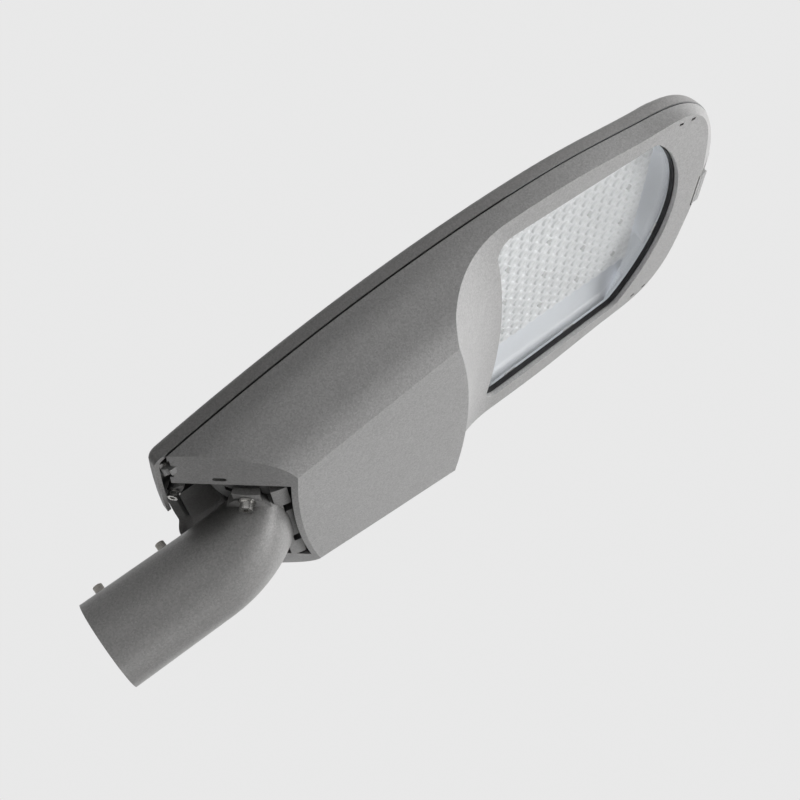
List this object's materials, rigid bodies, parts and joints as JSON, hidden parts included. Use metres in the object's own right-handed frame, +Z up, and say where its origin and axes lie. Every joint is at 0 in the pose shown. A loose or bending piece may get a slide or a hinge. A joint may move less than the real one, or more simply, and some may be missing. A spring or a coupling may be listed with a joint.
{
  "type": "led street light head",
  "caption": "LED street light head with a tilting side-entry spigot, finned upper housing and a hinged lower cover with a clear window over square lens modules.",
  "frame": {"origin": "centre of the spigot's mouth, where the pole end enters", "axes": "+X along the spigot from the pole to the head's front, +Z up, glass facing down"},
  "size_m": [0.7008, 0.301, 0.118],
  "materials": {
    "housing_paint": "satin",
    "cover_paint": "satin",
    "spigot_paint": "satin",
    "bracket_metal": "matte",
    "latch_paint": "satin",
    "screw_steel": "satin",
    "glass_clear": "gloss",
    "gasket_black": "matte",
    "seal_grey": "matte",
    "board_white": "satin",
    "lens_clear": "gloss",
    "reflector_grey": "satin",
    "tray_zinc": "satin",
    "driver_black": "satin",
    "plastic_white": "matte",
    "plastic_dark": "matte"
  },
  "bodies": {
    "spigot": {"spigot_elbow": "spigot_paint", "pole_set_screws": "screw_steel", "tilt_clamp_screws": "screw_steel", "tilt_clamp_washers": "screw_steel", "tilt_clamp_blocks": "bracket_metal"},
    "head": {"upper_housing": "housing_paint", "tilt_saddle": "bracket_metal", "saddle_screws": "screw_steel", "earth_screw": "screw_steel", "led_board": "board_white", "lens_screws": "screw_steel", "reflector_frame": "reflector_grey", "gear_tray": "tray_zinc", "gear_tray_screws": "screw_steel", "driver_case": "driver_black", "driver_end_caps": "plastic_dark", "surge_protector": "plastic_dark", "terminal_block": "plastic_white", "cable_clamp": "plastic_white", "hinge_pins": "screw_steel", "seam_gasket": "seal_grey", "lens_module_01": "lens_clear", "lens_module_02": "lens_clear", "lens_module_03": "lens_clear", "lens_module_04": "lens_clear", "lens_module_05": "lens_clear", "lens_module_06": "lens_clear", "lens_module_07": "lens_clear", "lens_module_08": "lens_clear", "lens_module_09": "lens_clear", "lens_module_10": "lens_clear", "lens_module_11": "lens_clear", "lens_module_12": "lens_clear", "lens_module_13": "lens_clear", "lens_module_14": "lens_clear", "lens_module_15": "lens_clear", "lens_module_16": "lens_clear"},
    "cover": {"lower_cover": "cover_paint", "window_glass": "glass_clear", "glass_gasket": "gasket_black", "glass_clips": "screw_steel", "glass_clip_screws": "screw_steel", "latch_pin": "screw_steel"},
    "latch": {"front_latch": "latch_paint"}
  },
  "joints": [
    {"name": "head_tilt", "type": "hinge", "parent": "spigot", "child": "head", "pos_m": [0.182, 0, 0.05], "axis": [0, 1, 0], "range_deg": [-15, 0]},
    {"name": "cover_hinge", "type": "hinge", "parent": "head", "child": "cover", "pos_m": [0.108, 0, 0.0515], "axis": [0, 1, 0], "range_deg": [0, 38]},
    {"name": "latch_pivot", "type": "hinge", "parent": "cover", "child": "latch", "pos_m": [0.677, 0, 0.038], "axis": [0, 1, 0], "range_deg": [0, 28]}
  ]
}
